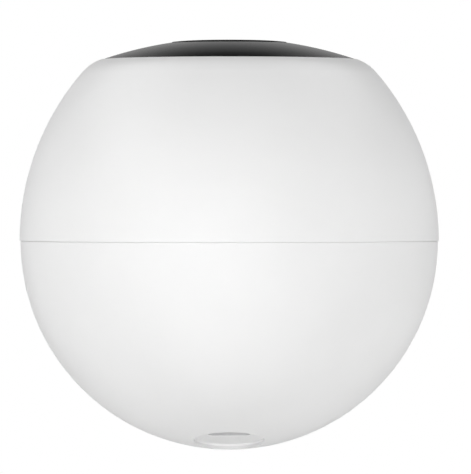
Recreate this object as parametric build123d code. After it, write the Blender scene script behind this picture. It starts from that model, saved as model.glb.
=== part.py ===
from build123d import *
from math import acos, atan2, cos, degrees, pi, radians, sin, sqrt, tan
import os

# A pan and tilt security camera: a ball that hangs from a round mounting cap and turns under it,
# with a lens drum that tilts in a slot of the ball.
# Millimetres. The pieces are made about the centre of the ball, +Z up, the lens looking along -Y.
# They are saved with the middle of the mounting face at the origin.

# Ball shells
ball_r = 45.0           # upper shell at the seam
seam_step = 0.2         # the lower shell lies this much inside the upper one
shoulder = 10.5         # how far across the axis the upper curve has its centre
shell_wall = 2.2
seam_gap = 0.1
tongue_h = 1.7
tongue_wall = 0.95
tongue_gap = 0.15

# Mounting cap, and the bearing that carries the ball
cap_r = 27.2
rim_gap = 0.3           # open joint between the cap and the ball
rim_slope = 19.0        # degrees, slope of the ball's rim beside the cap
rim_blend_r = 9.4
rim_band = 1.0          # depth of the cap's visible edge
rim_depth = 2.46        # thickness of the ball's rim
dome_r = 84.0
cap_wall = 1.6
skirt_wall = 1.7
ring_wall = 1.1         # bearing ring, its sleeve
ring_flange = 1.55
ring_t = 0.4
ring_top_gap = 0.25     # between the bearing ring and the cap's edge
run_gap = 0.1           # running clearance of every bearing
seat_gap = 0.03         # pieces pressed or laid in a seat
plate_t = 1.2
plate_edge = 0.4        # free space round the base plate
groove_gap = 0.15       # the bearing ring's flange lies this far inside the shell's groove
wheel_screw_r = 0.6     # the small screws of the pan wheel
wheel_screw_head = 1.1
wheel_screw_len = 0.8
wheel_screw_angles = (30, 150, 270)
cap_screw_angles = (45, 135, 225, 315)
cap_screw_len = 2.0
screw_tip_gap = 0.2     # free depth past a screw's tip
roof_top = 2.0          # how far cutting bars run past the cap
pad_r = 12.3
pad_t = 0.45

# Threaded insert, 1/4-20
thread_r = 2.6
insert_len = 6.6
insert_relief = 0.6     # free depth under the insert
insert_wall = 1.8
insert_flange = 0.6
insert_flange_t = 0.6
boss_wall = 2.4
post_wall = 1.4         # round the cap's screws
post_bite = 0.4         # the cap's screw posts run this far into its skirt
countersink_r = 1.9

# Slot, drum and lens head
tilt_up = 20.0          # degrees
tilt_down = 60.0
slot_half = 13.0
bezel_wall = 1.1
bezel_inset = 0.25      # the bezel lies this far below the shell
bezel_lip = 2.4
bezel_lip_t = 1.2
lip_clear = 0.8         # round the bezel's lip
lip_side_clear = 0.5
head_gap = 0.7
head_inset = 2.2        # front of the lens head below the lower shell's surface
head_wall = 1.2
head_edge = 0.8
head_step = 0.6
drum_top_gap = 1.0      # between the drum and the base plate
bezel_drum_gap = 1.0
drum_side_gap = 0.6
drum_wall = 1.6
drum_split = 8.0        # plane between the housing and its rear cover
trunnion_r = 4.0
trunnion_bore = 2.5
trunnion_short = 0.3    # the trunnions end this far inside the chassis wall's outer face
peg_r = 0.9             # pegs that carry the toothed sector
peg_wall = 1.1
peg_clear = 1.2         # between the bush's flange and the pegs' ring
peg_short = 0.1
peg_angles = (100, 180, 260)
sector_hole_r = 1.3
sector_hole_angles = (-28, 0, 28)
cover_screw_side = 1.9  # of the cover's screws, inside the drum's cheek
cover_screw_end = 7.7   # and inside the drum's wall
cover_seat = 2.5
cover_boss_r = 2.6
cover_post_r = 2.2
cover_post_len = 12.0
cover_screw_len = 5.0
head_bore_gap = 0.2     # round a screw's head
hub_r = 7.0
bush_wall = 1.3
bush_flange = 2.6
bush_flange_t = 0.4

# Gears, the same pair for pan and for tilt
gear_module = 0.6
wheel_teeth = 56
pinion_teeth = 12
backlash = 0.1
addendum = 0.85         # in modules
dedendum = 1.25
wheel_t = 1.8
sector_t = 1.5
pinion_t = 1.4
pinion_step = 0.1       # the pan pinion's lower face above the wheel's
pressure_angle = 20.0   # degrees
wheel_rim = 2.85        # solid ring inside the pan wheel's teeth
sector_spare = 15.0     # degrees of teeth past each limit
stop_depth = 1.6
stop_width = 1.8
stop_len = 2.0
stop_edge = 0.7         # the stop's outer side inside the base plate's edge
stop_clear = 0.3        # between the ball's stop and the base plate

# Motors
motor_r = 7.5
motor_h = 12.0
motor_offset = 2.9      # output shaft off the middle of the motor
motor_ear_half = 11.0
motor_ear_w = 6.0
motor_ear_t = 0.8
motor_boss_r = 3.0
motor_boss_gap = 0.2
motor_boss_h = 1.0
motor_screw_gap = 0.2
motor_collar_step = 0.6
motor_plug_half = 3.0
motor_plug_out = 0.8
motor_plug_top = 4.0    # below the motor's ears
motor_plug_bottom = 9.0
motor_bore_len = 8.4
shaft_end_gap = 0.3
shaft_r = 1.0
shelf_t = 1.4

# Chassis
chassis_gap = 0.3
chassis_wall = 2.0
chassis_shell_gap = 0.5
chassis_top_gap = 0.5
tie_r = 2.0
tie_gap = 1.1
tie_angles = (130.0, 40.0, 0.0, -45.0)
lug_angle = 37.5        # degrees, of the four lugs that take the upper shell
lug_clear = 0.2         # between the lugs and the groove over them
lug_drop = 16.5         # the lugs below the chassis top
lug_t = 2.0
lug_r = 3.0
lug_boss_r = 2.6
lug_screw_len = 5.0     # in the shell's boss
boss_end_gap = 1.0
wall_bite = 0.5         # how far joined pieces run into one another
hole_r = 5.5            # lightening holes of the chassis walls
hole_inset = 11.5       # their ring inside the ring of ties
hole_angles = (180.0, 250.0)
tie_screw_len = 5.0
shelf_drop = 1.1        # the motor shelf below the chassis top
shelf_half = 13.0
shelf_margin = 6.0

# Screws
screw_r = 0.8
screw_head_r = 1.6
screw_head_t = 1.0

# Battery, speaker and boards
cell_r = 7.1
cell_len = 50.0
cell_gap = 0.15
cell_pitch = 14.8
cell_cap_r = 2.6
cell_cap_h = 0.9
cell_end_gap = 0.2
battery_drop = 1.95     # the holder below the pan motor
holder_wall = 1.2
holder_end = 1.5
holder_rim = 0.6
holder_open = 0.4       # the trough stops this far inside the cells' middle
contact_w = 4.4
contact_inset = 4.0
speaker_r = 9.0
speaker_t = 4.5
speaker_gap = 2.8
magnet_r = 5.0
magnet_t = 1.6
board_t = 1.2
main_board_r = 26.0
main_board_gap = 1.4    # past the tilt motor
board_edge = 20.0       # the board's straight rear edge
board_post_r = 2.0
board_post_inset = 6.0
board_post_half = 12.0
board_post_margin = 3.4
board_post_angle = 72.0
board_screw_len = 3.5
can_half = 8.0
can_h = 2.2
socket_row_h = 2.0
socket_row_half = 5.0
socket_row_w = 6.0
socket_row_gap = 3.0
antenna_w = 22.0
antenna_h = 7.0
antenna_t = 0.6
antenna_y = -9.0
antenna_drop = 1.5      # below the chassis top

# Lens and what lies behind it
window_edge = 1.2       # the lens head's rim round the window
window_t = 1.2
window_inset = 0.2
lens_r = 5.5
lens_len = 7.4
lens_thread_r = 4.6
lens_thread_len = 8.2
lens_bore = 3.2
lens_gap = 0.8
lens_mouth = 0.8        # wall of the barrel's mouth
lens_mouth_len = 1.6
glass_edge = 1.0
glass_rise = 0.9
glass_r = 6.5           # of the front element's curve
neck_wall = 1.5
neck_root = 2.8         # the neck starts this far inside the drum's surface
lamp_room = 4.0         # between the lamp board and the window
led_board_t = 1.0
led_ring_inset = 2.3    # the lamps' ring inside the window's edge
led_size = 2.4
led_chip_h = 0.7
led_dome_r = 0.84
led_dome_h = 0.4
light_case_w = 2.0      # light sensor
light_case_h = 1.4
light_case_t = 0.8
status_w = 1.6
status_h = 1.0
status_t = 0.7
mic_w = 1.8
mic_h = 2.4
mic_t = 1.0
mic_port_r = 0.3
led_angles = (30, 150, 210, 330)
baffle_wall = 0.7
board_hole_gap = 0.2    # the lamp board round the lens
sensor_side_gap = 0.5   # the sensor board inside the drum's cheeks
sensor_top = 20.0
sensor_post_r = 1.8
sensor_post_inset = 2.2
sensor_post_z = 13.5
sensor_screw_len = 4.5
holder_half_x = 8.5
holder_half_z = 6.0
holder_foot_t = 1.4
holder_tube_wall = 1.6
holder_short = 0.6
fine_round = 1.0        # corners of boards and small cases

# Infrared filter; each window has a glass in it
case_side_gap = 0.6     # the filter's case inside the drum's cheeks
filter_case_t = 5.0
lens_filter_gap = 1.8
filter_plane = 3.0      # the filter's rear face, in front of the sensor board
filter_half_z = 4.4
filter_t = 1.0
filter_border = 0.45
glass_half_z = 2.8
glass_back = 0.3
glass_t = 0.4
slide_gap = 0.2
filter_end_gap = 0.25
case_wall = 0.6
case_half_z = 5.7
sensor_w = 9.0
sensor_h = 8.6
sensor_t = 1.3
sensor_room = 0.3
coil_back = 1.2
coil_half = 5.0
coil_h = 4.5
coil_t = 3.6

# Card slot and reset button
card_angle = 50.0       # degrees below the lens
card_x = -2.4
card_w = 12.4
card_t = 1.5
card_len = 14.0
card_wall = 0.5
card_slot_half = 0.45
card_back = 1.0
card_inset = 1.8        # the socket's mouth behind the drum's wall
card_board_t = 1.0
card_board_len = 13.0
card_board_gap = 0.1    # round the pressed button's flange
card_board_side = 0.4
card_sensor_gap = 3.0   # between the card board and the sensor board's lower edge
bracket_t = 2.0
bracket_w = 1.6
bracket_start = 2.0     # past the card board's inner edge
bracket_end = 0.3
button_x = 7.0
button_r = 1.5
button_gap = 0.15
button_inset = 0.1
button_flange = 0.6
button_flange_in = 2.0  # behind the drum's wall
button_travel = 0.4
switch_half = 2.0
switch_body_h = 2.2
switch_side = 1.0
switch_key_r = 0.6
switch_key_h = 0.4
switch_gap = 0.05

# Charging port
port_tilt = 16.0        # degrees from straight down, towards the back
port_r = 7.6
port_depth = 1.75
port_socket_up = 1.6    # the socket sits this much above the middle of the recess
port_floor = 1.8
port_wall = 2.0
socket_w = 8.94
socket_h = 3.26
socket_len = 6.3
socket_wall = 0.3
socket_back_t = 1.2
socket_inset = 0.1      # the socket's mouth behind the recess's floor
tongue_half_w = 3.3     # the contact tongue in the socket
tongue_half_h = 0.35
tongue_inset = 0.6
usb_board_t = 0.8
usb_board_half = 4.5
usb_board_edge = 2.0    # past the screws
usb_post_r = 1.8
usb_post_gap = 3.6      # from the socket's side to the screws
usb_screw_r = 0.7
usb_head_r = 1.4
usb_head_t = 0.7
usb_screw_len = 2.0
usb_hole_len = 3.0
round_off = 0.05        # rounded ends stop this short of a half circle

# Worked out from the sizes above
lower_r = ball_r - seam_step
curve_r = ball_r + shoulder
bore_r = cap_r + rim_gap
slope = radians(rim_slope)
blend_x = bore_r - rim_blend_r * sin(slope)
blend_z = sqrt((curve_r - rim_blend_r) ** 2 - (blend_x + shoulder) ** 2)
rim_z = blend_z + rim_blend_r * cos(slope)
ledge_z = rim_z - rim_depth
dome_z = rim_z - sqrt(dome_r ** 2 - cap_r ** 2)
skirt_r = bore_r - seat_gap - ring_wall - run_gap
ring_bottom = ledge_z - ring_t
plate_top = ring_bottom - run_gap
plate_bottom = plate_top - plate_t
groove_r = bore_r + ring_flange + plate_edge + groove_gap
plate_r = groove_r - plate_edge
wheel_bottom = plate_bottom - wheel_t
pinion_bottom = wheel_bottom + pinion_step
stop_bottom = plate_bottom - stop_depth
stop_r = plate_r - stop_edge - stop_len
wheel_r = gear_module * wheel_teeth / 2
pinion_r = gear_module * pinion_teeth / 2
gear_centres = wheel_r + pinion_r
drum_r = plate_bottom - drum_top_gap
drum_inner_r = drum_r - drum_wall
drum_half = slot_half - bezel_wall - drum_side_gap
drum_inner_half = drum_half - drum_wall
head_r = slot_half - bezel_wall - head_gap
head_front = lower_r - head_inset
window_front = head_front - window_inset
window_back = window_front - window_t
lens_front = window_back - lens_gap
lens_mid = lens_front - lens_len
lens_back = lens_mid - lens_thread_len
neck_r = head_r - head_wall - seat_gap
window_r = head_r - window_edge
led_ring_r = window_r - led_ring_inset
led_board_front = window_back - lamp_room
neck_end = led_board_front - led_board_t
chassis_in = slot_half + chassis_gap
chassis_out = chassis_in + chassis_wall
chassis_top = wheel_bottom - chassis_top_gap
tie_ring = drum_r + tie_gap + tie_r
bush_r = trunnion_r + run_gap + bush_wall
flange_face = chassis_in - bush_flange_t
sector_face = flange_face - run_gap
peg_ring = bush_r + bush_flange + peg_clear
lug_z = chassis_top - lug_drop
lug_top = lug_z + lug_t
lug_ring = groove_r + lug_r + lug_clear
lug_x = lug_ring * cos(radians(lug_angle))
lug_y = lug_ring * sin(radians(lug_angle))
shelf_z = chassis_top - shelf_t - shelf_drop
sensor_board_y = lens_back - lens_filter_gap - filter_case_t
sensor_board_back = sensor_board_y - board_t
sensor_low = sensor_board_back * tan(radians(card_angle)) - card_sensor_gap
filter_near = sensor_board_y + filter_plane
filter_front = sensor_board_y + filter_case_t
filter_reach = drum_inner_half - case_side_gap - case_wall
filter_edge = (filter_reach - filter_end_gap) / 3
filter_travel = 2 * filter_edge
glass_half_x = filter_edge - filter_border
sensor_half_x = drum_inner_half - sensor_side_gap
button_back = drum_inner_r - button_flange_in - button_flange
card_board_top = button_back - button_travel - card_board_gap
card_board_in = card_board_top - card_board_len
port_face = lower_r - port_depth
socket_back = port_face - socket_len
main_board_x = chassis_out + motor_ear_t + motor_h + main_board_gap
motor_bottom = shelf_z - motor_ear_t - motor_h
holder_half = cell_pitch / 2 + cell_r + cell_gap + holder_rim
cell_z = motor_bottom - battery_drop - holder_half
flat_pad_z = dome_z + sqrt(dome_r ** 2 - pad_r ** 2)
mount_height = flat_pad_z + pad_t

FRONT = Plane(origin=(0, 0, 0), x_dir=(1, 0, 0), z_dir=(0, -1, 0))
RIGHT = Plane(origin=(0, 0, 0), x_dir=(0, 1, 0), z_dir=(1, 0, 0))
BACK = Plane(origin=(0, 0, 0), x_dir=(-1, 0, 0), z_dir=(0, 1, 0))


def ray(angle):
    """A plane whose normal leaves the ball's centre forwards, ANGLE degrees above the horizon."""
    a = radians(angle)
    return Plane(origin=(0, 0, 0), x_dir=(1, 0, 0), z_dir=(0, -cos(a), sin(a)))


CARD = ray(-card_angle)
PORT = ray(-90 - port_tilt)
SOCKET = Plane(PORT.from_local_coords((0, -port_socket_up, 0)), PORT.x_dir, PORT.z_dir)


def rod(r, start, end, at=(0, 0), plane=Plane.XY):
    """A round bar along the plane's normal."""
    solid = Cylinder(r, end - start, align=(Align.CENTER, Align.CENTER, Align.MIN))
    return plane * Pos(at[0], at[1], start) * solid


def block(x, y, z, plane=Plane.XY):
    """A box between two values along each direction."""
    solid = Box(x[1] - x[0], y[1] - y[0], z[1] - z[0])
    return plane * Pos((x[0] + x[1]) / 2, (y[0] + y[1]) / 2, (z[0] + z[1]) / 2) * solid


def rounded_block(x, y, z, r, plane=Plane.XY):
    """A box with its edges along the plane's normal rounded."""
    face = RectangleRounded(x[1] - x[0], y[1] - y[0], r)
    solid = extrude(face, z[1] - z[0])
    return plane * Pos((x[0] + x[1]) / 2, (y[0] + y[1]) / 2, z[0]) * solid


def on_ring(r, angle):
    return (r * cos(radians(angle)), r * sin(radians(angle)))


def at_rz(points):
    return [(r, 0, z) for r, z in points]


def turned(points, plane=Plane.XY):
    """A solid turned about the plane's normal from straight lines between (radius, height)."""
    outline = Polyline(*at_rz(points), close=True)
    return plane * revolve(make_face(outline), Axis.Z)


def turned_edges(edges, plane=Plane.XY):
    return plane * revolve(make_face(edges), Axis.Z)


def line(a, b):
    return Line(*at_rz([a, b]))


def arc(centre, r, start, end):
    """An arc in the turning plane, about a centre, between two angles in degrees."""
    angles = [start, (start + end) / 2, end]
    points = [(centre[0] + r * cos(radians(a)), centre[1] + r * sin(radians(a))) for a in angles]
    return ThreePointArc(*at_rz(points))


def arc_from(centre, a, b):
    """An arc in the turning plane, about a centre, from point A to point B."""
    start = atan2(a[1] - centre[1], a[0] - centre[0])
    end = atan2(b[1] - centre[1], b[0] - centre[0])
    r = sqrt((a[0] - centre[0]) ** 2 + (a[1] - centre[1]) ** 2)
    middle = (start + end) / 2
    mid_point = (centre[0] + r * cos(middle), centre[1] + r * sin(middle))
    return ThreePointArc(*at_rz([a, mid_point, b]))


def upper_x(z, inset=0.0):
    """Radius of the upper shell's curve at a height."""
    return sqrt((curve_r - inset) ** 2 - z ** 2) - shoulder


def lower_x(z, inset=0.0):
    return sqrt((lower_r - inset) ** 2 - z ** 2)


def upper_z(x, inset=0.0):
    """Height of the upper shell's curve at a radius."""
    return sqrt((curve_r - inset) ** 2 - (x + shoulder) ** 2)


def dome_at(x, inset=0.0):
    return dome_z + sqrt((dome_r - inset) ** 2 - x ** 2)


def ball(inset):
    """The ball's outer form, drawn in by INSET."""
    low = lower_r - inset
    top = (0, upper_z(0, inset))
    edges = [
        arc((0, 0), low, -90, 0),
        line((low, 0), (ball_r - inset, 0)),
        arc_from((-shoulder, 0), (ball_r - inset, 0), top),
        line(top, (0, -low)),
    ]
    return turned_edges(edges)


def slot_form(half):
    """What the lens head sweeps: round ends at the tilt limits and flat sides between them."""
    reach = 2 * ball_r
    up = radians(tilt_up)
    down = radians(-tilt_down)
    middle = (up + down) / 2
    ends = [(0, -reach * cos(a), reach * sin(a)) for a in (up, middle, down)]
    edges = [
        Line((0, 0, 0), ends[0]),
        ThreePointArc(*ends),
        Line(ends[2], (0, 0, 0)),
    ]
    fan = extrude(make_face(edges), half, dir=(1, 0, 0), both=True)
    return fan + rod(half, 0, reach, plane=ray(tilt_up)) + rod(half, 0, reach, plane=ray(-tilt_down))


# Gears


def tooth_half_angle(r, teeth):
    """Half the angle that a tooth takes at radius R, by its involute."""
    pitch = gear_module * teeth / 2
    base = pitch * cos(radians(pressure_angle))
    pressure = acos(min(1.0, base / max(r, base)))
    involute = tan(pressure) - pressure
    involute_at_pitch = tan(radians(pressure_angle)) - radians(pressure_angle)
    at_pitch = pi / (2 * teeth) - backlash / (4 * pitch)
    return at_pitch + involute_at_pitch - involute


def tooth_points(teeth, middle):
    """One tooth's corners from its leading root to its trailing root; MIDDLE in radians."""
    pitch = gear_module * teeth / 2
    base = pitch * cos(radians(pressure_angle))
    root = pitch - dedendum * gear_module
    tip = pitch + addendum * gear_module
    radii = [root, base, pitch, tip] if root < base else [root, pitch, tip]
    side = [(r, tooth_half_angle(r, teeth)) for r in radii]
    polar = [(r, middle - a) for r, a in side] + [(r, middle + a) for r, a in reversed(side)]
    return [(r * cos(a), r * sin(a)) for r, a in polar]


def gear(teeth, thickness, phase=0.0):
    """A whole spur gear; PHASE is the direction of one tooth's middle, in degrees."""
    points = []
    for k in range(teeth):
        points += tooth_points(teeth, radians(phase) + 2 * pi * k / teeth)
    return extrude(make_face(Polyline(*points, close=True)), thickness)


def gear_sector(teeth, thickness, phase, start, end):
    """The teeth of a gear between two angles, with the wedge that carries them."""
    step = 360 / teeth
    first = int((start - phase) // step) + 1
    last = int((end - phase) // step)
    points = [(0, 0)]
    for k in range(first, last + 1):
        points += tooth_points(teeth, radians(phase + k * step))
    return extrude(make_face(Polyline(*points, close=True)), thickness)


# The mounting cap and what is fixed to it


def cap_screw_places():
    r = skirt_r - skirt_wall - screw_r - post_wall + post_bite
    return [(r * cos(radians(a)), r * sin(radians(a))) for a in cap_screw_angles]


def top_cap():
    boss_r = thread_r + insert_wall + boss_wall
    inner_skirt = skirt_r - skirt_wall
    inner = dome_at(inner_skirt, cap_wall)
    under = dome_at(boss_r, cap_wall)
    band = rim_z - rim_band
    edges = [
        line((0, plate_bottom), (boss_r, plate_bottom)),
        line((boss_r, plate_bottom), (boss_r, under)),
        arc_from((0, dome_z), (boss_r, under), (inner_skirt, inner)),
        line((inner_skirt, inner), (inner_skirt, plate_top)),
        line((inner_skirt, plate_top), (skirt_r, plate_top)),
        line((skirt_r, plate_top), (skirt_r, band)),
        line((skirt_r, band), (cap_r, band)),
        line((cap_r, band), (cap_r, rim_z)),
        arc_from((0, dome_z), (cap_r, rim_z), (pad_r, flat_pad_z)),
        line((pad_r, flat_pad_z), (0, flat_pad_z)),
        line((0, flat_pad_z), (0, plate_bottom)),
    ]
    cap = turned_edges(edges)
    side = (cap_r, dome_at(cap_r, cap_wall / 2))
    top = (0, dome_at(0, cap_wall / 2))
    roof = turned_edges([
        line((0, plate_top), (cap_r, plate_top)),
        line((cap_r, plate_top), side),
        arc_from((0, dome_z), side, top),
        line(top, (0, plate_top)),
    ])
    for place in cap_screw_places():
        cap += rod(screw_r + post_wall, plate_top, rim_z + roof_top, place) & roof
        cap -= rod(screw_r, plate_top, plate_top + cap_screw_len + screw_tip_gap, place)
    bottom = mount_height - insert_len - insert_relief
    cap -= rod(thread_r + insert_wall, bottom, mount_height)
    flange = thread_r + insert_wall + insert_flange + seat_gap
    cap -= rod(flange, mount_height - insert_flange_t, mount_height)
    return cap


def mount_pad():
    hole = thread_r + insert_wall + insert_flange + seat_gap
    return rod(pad_r, flat_pad_z, mount_height) - rod(hole, flat_pad_z, mount_height)


def thread_insert():
    bottom = mount_height - insert_len
    body = thread_r + insert_wall
    flange = body + insert_flange
    step = mount_height - insert_flange_t
    return turned([
        (thread_r, bottom), (body, bottom), (body, step),
        (flange, step), (flange, mount_height), (thread_r, mount_height),
    ])


def flush_screw(place, head_z, top, r, head_r, head_t):
    """A countersunk screw that points up."""
    head = Cone(head_r, r, head_t, align=(Align.CENTER, Align.CENTER, Align.MIN))
    return Pos(place[0], place[1], head_z) * head + rod(r, head_z + head_t, top, place)


def wheel_screw_places():
    r = wheel_r - dedendum * gear_module - wheel_rim / 2
    return [(r * cos(radians(a)), r * sin(radians(a))) for a in wheel_screw_angles]


def wheel_screw(place, top):
    head_t = wheel_screw_head - wheel_screw_r
    return flush_screw(place, wheel_bottom, top, wheel_screw_r, wheel_screw_head, head_t)


def base_screws():
    screws = []
    for place in cap_screw_places():
        top = plate_top + cap_screw_len
        screws.append(flush_screw(place, plate_bottom, top, screw_r, countersink_r, plate_t))
    for place in wheel_screw_places():
        screws.append(wheel_screw(place, plate_bottom + wheel_screw_len))
    return Compound(screws)


def base_plate():
    boss_r = thread_r + insert_wall + boss_wall
    plate = rod(plate_r, plate_bottom, plate_top) - rod(boss_r + seat_gap, plate_bottom, plate_top)
    for place in cap_screw_places():
        plate -= flush_screw(place, plate_bottom, plate_top, screw_r, countersink_r, plate_t)
    for place in wheel_screw_places():
        plate -= rod(wheel_screw_r, plate_bottom, plate_bottom + wheel_screw_len, place)
    side = (-stop_width / 2, stop_width / 2)
    stop = block(side, (-stop_r - stop_len, -stop_r), (stop_bottom, plate_bottom))
    return plate + stop


def pan_gear():
    toothed = gear(wheel_teeth, wheel_t, 180)
    hole = wheel_r - dedendum * gear_module - wheel_rim
    wheel = Pos(0, 0, wheel_bottom) * toothed - rod(hole, wheel_bottom, plate_bottom)
    for place in wheel_screw_places():
        wheel -= wheel_screw(place, plate_bottom)
    return wheel


# The ball


def lug_places():
    return [(sx * lug_x, sy * lug_y) for sx in (-1, 1) for sy in (-1, 1)]


def upper_shell():
    half_gap = seam_gap / 2
    start = (upper_x(half_gap), half_gap)
    reach = curve_r / (curve_r - rim_blend_r)
    meet = ((blend_x + shoulder) * reach - shoulder, blend_z * reach)
    rim = (bore_r, rim_z)
    groove_z = upper_z(groove_r, shell_wall)
    rebate_r = lower_r - shell_wall + tongue_wall + tongue_gap
    rebate_z = tongue_h + tongue_gap
    inner_start = (upper_x(rebate_z, shell_wall), rebate_z)
    edges = [
        arc_from((-shoulder, 0), start, meet),
        arc_from((blend_x, blend_z), meet, rim),
        line(rim, (bore_r, ledge_z)),
        line((bore_r, ledge_z), (groove_r, ledge_z)),
        line((groove_r, ledge_z), (groove_r, groove_z)),
        arc_from((-shoulder, 0), (groove_r, groove_z), inner_start),
        line(inner_start, (rebate_r, rebate_z)),
        line((rebate_r, rebate_z), (rebate_r, half_gap)),
        line((rebate_r, half_gap), start),
    ]
    shell = turned_edges(edges)
    inside = ball(shell_wall / 2)
    for place in lug_places():
        shell += rod(lug_boss_r, lug_top, rim_z, place) & inside
        shell -= rod(screw_r, lug_top, lug_top + lug_screw_len + boss_end_gap, place)
    side = (-stop_width / 2, stop_width / 2)
    top = plate_bottom - stop_clear
    shell += block(side, (stop_r, ball_r), (stop_bottom, top)) & inside
    return shell - slot_form(slot_half + seat_gap)


def lower_shell():
    half_gap = seam_gap / 2
    inner_r = lower_r - shell_wall
    tongue_r = inner_r + tongue_wall
    start = (lower_x(-half_gap), -half_gap)
    inner_top = (inner_r, 0)
    edges = [
        arc((0, 0), lower_r, -90, degrees(atan2(start[1], start[0]))),
        line(start, (tongue_r, -half_gap)),
        line((tongue_r, -half_gap), (tongue_r, tongue_h)),
        line((tongue_r, tongue_h), (inner_r, tongue_h)),
        line((inner_r, tongue_h), inner_top),
        arc((0, 0), inner_r, 0, -90),
        line((0, -inner_r), (0, -lower_r)),
    ]
    shell = turned_edges(edges)
    inside = ball(shell_wall / 2)
    pad_back = port_face - port_floor
    shell += rod(port_r + port_wall, pad_back, lower_r, plane=PORT) & inside
    for place in usb_post_places():
        shell += rod(usb_post_r, socket_back, lower_r, place, SOCKET) & inside
    shell -= rod(port_r, port_face, ball_r, plane=PORT)
    shell -= socket_form(-seat_gap, (socket_back, ball_r))
    for place in usb_post_places():
        shell -= rod(usb_screw_r, socket_back, socket_back + usb_hole_len, place, SOCKET)
    return shell - slot_form(slot_half + seat_gap)


def bearing_ring():
    inner = skirt_r + run_gap
    sleeve = bore_r - seat_gap
    top = rim_z - rim_band - ring_top_gap
    flange = bore_r + ring_flange
    return turned([
        (inner, ring_bottom), (flange, ring_bottom), (flange, ledge_z),
        (sleeve, ledge_z), (sleeve, top), (inner, top),
    ])


def slot_bezel():
    inner = slot_form(slot_half - bezel_wall)
    liner = slot_form(slot_half) & ball(bezel_inset)
    lip_inset = shell_wall + seam_step + seat_gap
    lip = slot_form(slot_half + bezel_lip) & ball(lip_inset)
    lip -= ball(lip_inset + bezel_lip_t)
    return liner + lip - inner - drum_sphere(drum_r + bezel_drum_gap)


# The chassis: two side walls, held apart by ties that run past the drum


def side_wall(side):
    across = sorted((side * chassis_in, side * chassis_out))
    far = 2 * ball_r
    slab = block(across, (-far, far), (-far, chassis_top))
    wall = slab & ball(shell_wall + chassis_shell_gap)
    lip_r = lower_r - shell_wall - bezel_lip_t - lip_clear
    wall -= slot_form(slot_half + bezel_lip + lip_side_clear) - drum_sphere(lip_r)
    wall -= rod(bush_r + seat_gap, -far, far, plane=RIGHT)
    for angle in hole_angles:
        wall -= rod(hole_r, -far, far, on_ring(tie_ring - hole_inset, angle), RIGHT)
    return wall


def lug(side, y):
    """A flat foot on a chassis wall that takes one screw into the upper shell."""
    across = sorted((side * (chassis_out - wall_bite), side * lug_x))
    foot = block(across, (y - lug_r, y + lug_r), (lug_z, lug_top))
    foot += rod(lug_r, lug_z, lug_top, (side * lug_x, y))
    return foot - rod(screw_r, lug_z, lug_top, (side * lug_x, y))


def tie_place(angle):
    return on_ring(tie_ring, angle)


def motor_screw_half():
    return motor_r + screw_head_r + motor_screw_gap


def chassis_left():
    wall = side_wall(-1)
    for y in (-lug_y, lug_y):
        wall += lug(-1, y)
    for angle in tie_angles:
        wall += rod(tie_r, -chassis_in - wall_bite, chassis_in, tie_place(angle), RIGHT)
        hole_end = chassis_in - tie_screw_len - boss_end_gap
        wall -= rod(screw_r, hole_end, chassis_in, tie_place(angle), RIGHT)
    middle = gear_centres + motor_offset
    across = (-middle - shelf_margin, -chassis_out + wall_bite)
    shelf = block(across, (-shelf_half, shelf_half), (shelf_z, shelf_z + shelf_t))
    wall += shelf & ball(shell_wall + chassis_shell_gap)
    boss = motor_boss_r + motor_boss_gap
    wall -= rod(boss, shelf_z, shelf_z + shelf_t, (-gear_centres, 0))
    for sy in (-1, 1):
        place = (-middle, sy * motor_screw_half())
        wall -= rod(screw_r, shelf_z, shelf_z + shelf_t, place)
    return wall


def board_post_places():
    near = -board_edge + board_post_inset
    far = main_board_r - board_post_margin
    return [(near, board_post_half), (near, -board_post_half)] + [
        on_ring(far, board_post_angle), on_ring(far, -board_post_angle)
    ]


def chassis_right():
    wall = side_wall(1)
    for y in (-lug_y, lug_y):
        wall += lug(1, y)
    for angle in tie_angles:
        wall -= rod(screw_r, chassis_in, chassis_out, tie_place(angle), RIGHT)
    for place in board_post_places():
        wall += rod(board_post_r, chassis_out - wall_bite, main_board_x, place, RIGHT)
        hole_end = main_board_x - board_screw_len - screw_tip_gap
        wall -= rod(screw_r, hole_end, main_board_x, place, RIGHT)
    boss = motor_boss_r + motor_boss_gap
    wall -= rod(boss, chassis_in, chassis_out, (gear_centres, 0), RIGHT)
    for sz in (-1, 1):
        place = (gear_centres + motor_offset, sz * motor_screw_half())
        wall -= rod(screw_r, chassis_in, chassis_out, place, RIGHT)
    return wall


def cap_screw(place, seat, depth, plane=Plane.XY, flip=False):
    """A pan-head screw; its head stands on SEAT and its shank goes DEPTH down the normal."""
    s = -1 if flip else 1
    head = sorted((seat, seat + s * screw_head_t))
    shank = sorted((seat, seat - s * depth))
    return rod(screw_head_r, *head, place, plane) + rod(screw_r, *shank, place, plane)


def chassis_screws():
    depth = chassis_wall + tie_screw_len
    screws = [cap_screw(tie_place(a), chassis_out, depth, RIGHT) for a in tie_angles]
    for place in lug_places():
        screws.append(cap_screw(place, lug_z, lug_t + lug_screw_len, flip=True))
    return Compound(screws)


def tilt_bush(side):
    inner = trunnion_r + run_gap
    flange = bush_r + bush_flange - bush_wall
    bush = turned([
        (inner, flange_face), (flange, flange_face), (flange, chassis_in),
        (bush_r, chassis_in), (bush_r, chassis_out), (inner, chassis_out),
    ])
    along = Plane(origin=(0, 0, 0), x_dir=(0, 1, 0), z_dir=(side, 0, 0))
    return along * bush


# Motors


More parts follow.
